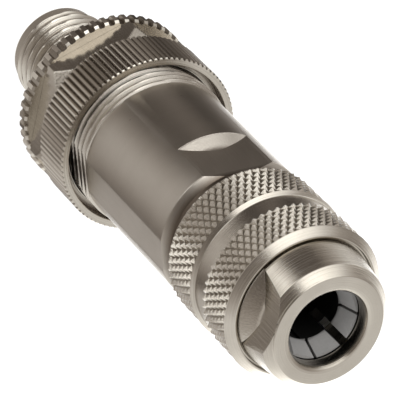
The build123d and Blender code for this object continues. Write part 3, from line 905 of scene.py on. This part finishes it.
@dataclass
class GripNut(Turned):
    """Sleeve with two diamond-knurled bands and a smooth groove between them."""

    name: str = "grip_nut_knurled"
    body: str = "housing"
    node: str = "grip_nut"
    front: float = 47.5
    knurl_radius: float = 9.52
    knurl_depth: float = 0.42
    knurl_count: int = 60
    knurl_root: float = 0.03    # shares of a ridge: its flat root and its side; the rest is the worn tip
    knurl_side: float = 0.90
    diamonds: int = 3           # along each band
    steps: int = 8              # rows along each diamond
    front_bore: float = 8.35
    front_bore_end: float = 49.1
    thread_bore: float = 8.02
    rear_step: float = 56.7
    rear_bore: float = 8.4
    groove_radius: float = 9.1
    band_1: tuple[float, float] = (47.9, 53.1)
    band_2: tuple[float, float] = (56.0, 60.94)
    rear: float = 61.78
    rear_radius: float = 8.6

    def outline(self) -> np.ndarray:
        """Front rim, first band, chamfer and groove, second band, rear chamfer, and the stepped bore.

        Returns:
            Rows of radius, height, zone and round length.
        """
        rim = self.knurl_radius - 0.06
        edge = self.knurl_radius - 0.34
        rows = self.diamonds * self.steps + 1
        return np.concatenate([
            corner(self.front_bore, self.front), corner(edge, self.front, 0.12),
            ladder((self.knurl_radius, self.band_1[0]), (self.knurl_radius, self.band_1[1]), rows, Zone.KNURL),
            corner(self.groove_radius + 0.4, self.band_1[1] + 0.02, 0.03),
            corner(self.groove_radius, self.band_1[1] + 0.45, 0.1),
            corner(self.groove_radius, self.band_2[0] - 0.03, 0.05),
            ladder((self.knurl_radius, self.band_2[0]), (self.knurl_radius, self.band_2[1]), rows, Zone.KNURL),
            corner(rim, self.band_2[1] + 0.03, 0.03), corner(self.rear_radius, self.rear, 0.07),
            corner(self.rear_bore, self.rear, 0.06), corner(self.rear_bore, self.rear_step),
            corner(self.thread_bore, self.rear_step - 0.38),
            corner(self.thread_bore, self.front_bore_end + 0.33),
            corner(self.front_bore, self.front_bore_end)])

    def shaped(self, at: Grid) -> np.ndarray:
        """The diamond knurl: the lower of two families of V ridges that cross at 30 degrees each way.

        With the phases u = turn + rise and v = turn - rise, each ridge is 1 at whole numbers and 0 between.
        The tips are worn a little flat.

        Args:
            at: The turned points.

        Returns:
            The new radii.
        """
        turn = at.angle * self.knurl_count / (2 * math.pi)
        first_band = at.height < (self.band_1[1] + self.band_2[0]) / 2
        low = np.where(first_band, self.band_1[0], self.band_2[0])
        length = np.where(first_band, self.band_1[1] - self.band_1[0], self.band_2[1] - self.band_2[0])
        rise = (at.height - low) / length * self.diamonds + 0.5
        first, second = turn + rise, turn - rise
        ridge = np.minimum(1 - np.abs(first - np.round(first)) * 2, 1 - np.abs(second - np.round(second)) * 2)
        ridge = np.clip((ridge - self.knurl_root) / self.knurl_side, 0.0, 1.0)
        return np.where(at.zone == Zone.KNURL, self.knurl_radius - self.knurl_depth * (1 - ridge), at.radius)

    def diagonals(self, zone: np.ndarray) -> np.ndarray | None:
        """Cuts each cell along the ridge or groove that crosses it, so that the diamonds have straight edges.

        Args:
            zone: Each row's zone.

        Returns:
            1 for a rising diagonal and 0 for a falling one, columns by rows.
        """
        rows = np.arange(len(zone))
        knurled = zone == Zone.KNURL
        starts = np.flatnonzero(knurled & ~np.roll(knurled, 1))
        band_start = starts[np.searchsorted(starts, rows, side="right") - 1]
        step = np.where(knurled, rows - band_start, 0) + self.steps // 2
        column = np.arange(self.columns)[:, None]
        return ((column - step[None, :]) % (self.steps // 2) == 0).astype(int)


@dataclass
class PressingNut(Turned):
    """Tapered nut with two wrench flats, a bevelled rear face and a rounded cable hole."""

    name: str = "pressing_nut_turned"
    body: str = "clamp_nut"
    node: str = "pressing_nut"
    slot: str = "nickel_bright"
    finish: Metal | Moulded = NICKEL_BRIGHT
    flats: tuple[Flat, ...] = (Flat(-53.5, 6.75, 61.7, 2.7, 8.15), Flat(126.5, 6.75, 61.7, 2.7, 8.15))
    flats_start: float = 61.7   # where the flats' run-out begins and ends
    flats_full: float = 64.4
    front: float = 58.31
    thread_radius: float = 8.35
    thread_end: float = 61.31
    taper_front: float = 8.2
    taper_rear: float = 7.57
    chamfer_start: float = 65.95
    rear: float = 67.0
    face_radius: float = 6.6
    hole_radius: float = 4.62
    cone_rear: float = 65.2
    cone_front: float = 61.55
    cavity: float = 6.9

    def outline(self) -> np.ndarray:
        """Threaded front end, tapered side, bevel, rear face, rounded hole and the cone inside.

        Returns:
            Rows of radius, height, zone and round length.
        """
        slope = (self.taper_rear - self.taper_front) / (self.chamfer_start - self.thread_end)
        bevel = [corner(self.taper_rear + (self.face_radius - self.taper_rear) * share,
                        self.chamfer_start + (self.rear - self.chamfer_start) * share)
                 for share in np.linspace(0.12, 0.94, 14)]
        side = [corner(self.taper_front + slope * (height - self.thread_end), height)
                for height in np.linspace(self.flats_start, self.flats_full, 26)]
        return np.concatenate([
            bore_corner(self.cavity, self.front), corner(self.thread_radius, self.front, 0.1),
            corner(self.thread_radius, self.thread_end), corner(self.taper_front, self.thread_end), *side,
            corner(self.taper_rear, self.chamfer_start, 0.10), *bevel,
            corner(self.face_radius, self.rear, 0.07),
            bore_corner(self.hole_radius, self.rear, 0.85), bore_corner(self.hole_radius, self.cone_rear, 0.2),
            bore_corner(self.cavity, self.cone_front)])


@dataclass(frozen=True)
class Ring:
    """One ring of the light tent, with its brightness at a few azimuths."""

    distance: float                                 # from the axis, in metres
    height: float
    stops: tuple[tuple[float, float], ...]          # azimuth in degrees and strength

    def glow(self, azimuth: np.ndarray) -> np.ndarray:
        """Strength at each azimuth in degrees, a straight blend between the stops on either side."""
        place, strength = np.array(sorted(self.stops)).T
        return np.interp(azimuth, place, strength, period=360.0)


CORE = ((-150, 0.36), (-90, 0.33), (-45, 0.5), (0, 0.6), (30, 1.1), (60, 1.6), (90, 1.2), (120, 1.2),
        (150, 0.6))
NEAR_FLOOR = ((-178, 0.05), (-152, 0.22), (-123, 0.1), (-98, 0.2), (-65, 0.68), (-42, 0.62), (-4, 0.12),
              (12, 0.68), (17, 0.68), (43, 0.6), (56, 2.1), (85, 2.8), (120, 2.6), (138, 0.7), (155, 0.16))
FAR_FLOOR = ((-170, 0.5), (-148, 0.1), (-112, 0.1), (-90, 1.7), (-68, 0.3), (12, 0.35), (40, 1.1),
             (62, 2.4), (100, 2.0), (135, 0.6), (160, 1.0))
OUTER_FLOOR = ((-175, 0.8), (-148, 0.5), (-114, 0.7), (-100, 1.7), (-70, 1.7), (-52, 0.7), (10, 0.7), (40, 1.4),
               (62, 2.6), (100, 2.4), (135, 1.2), (160, 1.8))
LOW_WALL = ((-180, 0.4), (-160, 1.2), (-140, 0.3), (-115, 0.45), (-90, 0.2), (-40, 0.25), (0, 0.5), (30, 1.1),
            (62, 1.9), (90, 1.5), (115, 0.8), (140, 0.4))
HIGH_WALL = ((-180, 0.9), (-165, 1.5), (-140, 2.2), (-112, 2.0), (-98, 0.15), (-60, 0.2), (-32, 0.4), (0, 0.95),
             (45, 1.1), (90, 0.9), (140, 0.35), (165, 0.5))
ROOF = ((0, 0.9), (90, 0.9), (180, 0.8), (270, 0.6))


@dataclass
class Tent:
    """A light tent with grey and white cards round the part, seen only in reflections."""

    rings: tuple[Ring, ...] = (
        Ring(0.00562, 0.00005, CORE), Ring(0.0072, 0.00005, CORE), Ring(0.011, 0.00005, NEAR_FLOOR),
        Ring(0.065, 0.00005, NEAR_FLOOR), Ring(0.085, 0.00005, FAR_FLOOR), Ring(0.14, 0.00005, FAR_FLOOR),
        Ring(0.22, 0.00005, OUTER_FLOOR), Ring(0.40, 0.00005, OUTER_FLOOR), Ring(0.40, 0.09, LOW_WALL),
        Ring(0.40, 0.22, HIGH_WALL), Ring(0.38, 0.42, HIGH_WALL), Ring(0.20, 0.60, ROOF),
        Ring(0.001, 0.66, ROOF))
    columns: int = 144

    def build(self) -> bpy.types.Object:
        """Makes the tent from its rings, with the strength as a point attribute.

        Returns:
            The tent.
        """
        azimuth = np.arange(self.columns) * (360.0 / self.columns)
        turn = np.radians(azimuth)
        points = np.concatenate([np.stack([np.cos(turn) * ring.distance, np.sin(turn) * ring.distance,
                                           np.full_like(turn, ring.height)], axis=1) for ring in self.rings])
        glow = np.concatenate([ring.glow(azimuth) for ring in self.rings])
        column, row = np.meshgrid(np.arange(self.columns), np.arange(len(self.rings) - 1))
        here, after = row * self.columns + column, row * self.columns + (column + 1) % self.columns
        faces = np.stack([here, after, after + self.columns, here + self.columns], axis=-1).reshape(-1, 4)
        mesh = filled_mesh("light_tent", points, faces)
        mark_points(mesh, "glow", glow)
        mesh.materials.append(self.material())
        tent = bpy.data.objects.new("light_tent", mesh)
        bpy.context.scene.collection.objects.link(tent)
        tent.visible_camera = False
        tent.visible_diffuse = False
        tent.visible_shadow = False
        tent.visible_transmission = False
        return tent

    def material(self) -> bpy.types.Material:
        """Makes the cards' material: warm where it is dark and white where it is bright.

        Returns:
            The material.
        """
        board = NodeBoard(bpy.data.materials.new("light tent"))
        strength = board.attribute("glow")
        colour = board.ramp(strength, ((0.1, (1.0, 0.87, 0.78)), (0.9, (1.0, 1.0, 0.99))))
        glow = board.add("ShaderNodeEmission", colour, strength)
        board.add("ShaderNodeOutputMaterial", glow.outputs[0])
        return board.owner


@dataclass
class Studio:
    """Floor, world, lamps and camera."""

    floor_size: float = 6.0
    paper: float = 0.35         # diffuse share of the floor, which keeps the part's shadow
    paper_glow: float = 0.80    # and its glow, which brings it up to white
    haze: float = 0.6           # the world's light on the part
    focal_mm: float = 352.3
    sensor_mm: float = 36.0

    def build(self) -> None:
        """Makes the floor, the world, the lamps and the camera."""
        self.make_world()
        self.make_floor()
        Tent().build()
        self.make_lamps()
        self.make_camera()

    def make_world(self) -> None:
        """Makes a soft grey world that the camera, glossy and transmission rays see as white."""
        world = bpy.data.worlds.new("studio")
        board = NodeBoard(world)
        glows = [board.add("ShaderNodeBackground", (1.0, 1.0, 1.0, 1.0), strength).outputs[0]
                 for strength in (self.haze, 1.0)]
        mix = board.add("ShaderNodeMixShader", board.seen(), *glows)
        board.add("ShaderNodeOutputWorld", mix.outputs[0])
        bpy.context.scene.world = world

    def make_floor(self) -> None:
        """Makes the pale floor under the part."""
        half = self.floor_size / 2
        mesh = bpy.data.meshes.new("floor")
        corners = [(-half, -half, 0), (half, -half, 0), (half, half, 0), (-half, half, 0)]
        mesh.from_pydata(corners, [], [(0, 1, 2, 3)])
        floor = bpy.data.objects.new("floor", mesh)
        bpy.context.scene.collection.objects.link(floor)
        board = NodeBoard(bpy.data.materials.new("floor"))
        paper = board.add("ShaderNodeBsdfDiffuse", (self.paper, self.paper, self.paper, 1.0)).outputs[0]
        glow = board.add("ShaderNodeEmission", None, self.paper_glow).outputs[0]
        both = board.add("ShaderNodeAddShader", paper, glow).outputs[0]
        mix = board.add("ShaderNodeMixShader", board.seen(), paper, both)
        board.add("ShaderNodeOutputMaterial", mix.outputs[0])
        mesh.materials.append(board.owner)

    def make_lamps(self) -> None:
        """Makes the soft boxes."""
        self.lamp("key", (-0.5, -0.35, 0.55), 0.3, 5.0)
        self.lamp("fill", (0.6, -0.2, 0.4), 0.35, 3.0)

    def lamp(self, name: str, place: tuple[float, float, float], size: float, power: float) -> None:
        """Makes one square area lamp that faces the part and that reflections don't show.

        Args:
            name: The lamp's name.
            place: Where it stands, in metres.
            size: Its side, in metres.
            power: Its power, in watts.
        """
        data = bpy.data.lights.new(name, "AREA")
        data.energy = power
        data.size = size
        lamp = bpy.data.objects.new(name, data)
        lamp.visible_glossy = False
        lamp.location = place
        aim = Vector((0, 0, 0.035)) - Vector(place)
        lamp.rotation_euler = aim.to_track_quat("-Z", "Y").to_euler()
        bpy.context.scene.collection.objects.link(lamp)

    def make_camera(self) -> None:
        """Makes the camera at the photograph's viewing angle, which looks down the part from its cable end."""
        data = bpy.data.cameras.new("camera")
        data.lens = self.focal_mm
        data.sensor_width = self.sensor_mm
        data.clip_start = 0.01
        camera = bpy.data.objects.new("camera", data)
        right = Vector((-0.71801, 0.52206, 0.46034))
        up = Vector((-0.69603, -0.53808, -0.47540))
        back = right.cross(up)
        up = back.cross(right)
        turn = Matrix((right.normalized(), up.normalized(), back.normalized())).transposed()
        camera.matrix_world = Matrix.Translation((0.0, -0.2898, 0.3658)) @ turn.to_4x4()
        bpy.context.scene.collection.objects.link(camera)
        bpy.context.scene.camera = camera


def dress_nodes(frame: dict) -> None:
    """Gives every CAD node its finish.
    """
    for name, finish in NODE_FINISH.items():
        mesh = frame["nodes"][name].data
        mark_points(mesh, "relief", np.full(len(mesh.vertices), 0.5))
        for slot in frame["nodes"][name].material_slots:
            slot.material = finish_material(finish)
        LOG.info("dressed %s in %s", name, finish.name)


def main() -> None:
    """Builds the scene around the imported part, from the tip to the cable entry."""
    logging.basicConfig(level=logging.INFO)
    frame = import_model()
    Studio().build()
    dress_nodes(frame)
    for piece in (CouplingScrew(), FrontHousing(), BodySleeve(), GripNut(), PressingNut()):
        piece.build()
    bpy.context.scene.view_settings.view_transform = "Standard"


if __name__ == "__main__":
    main()
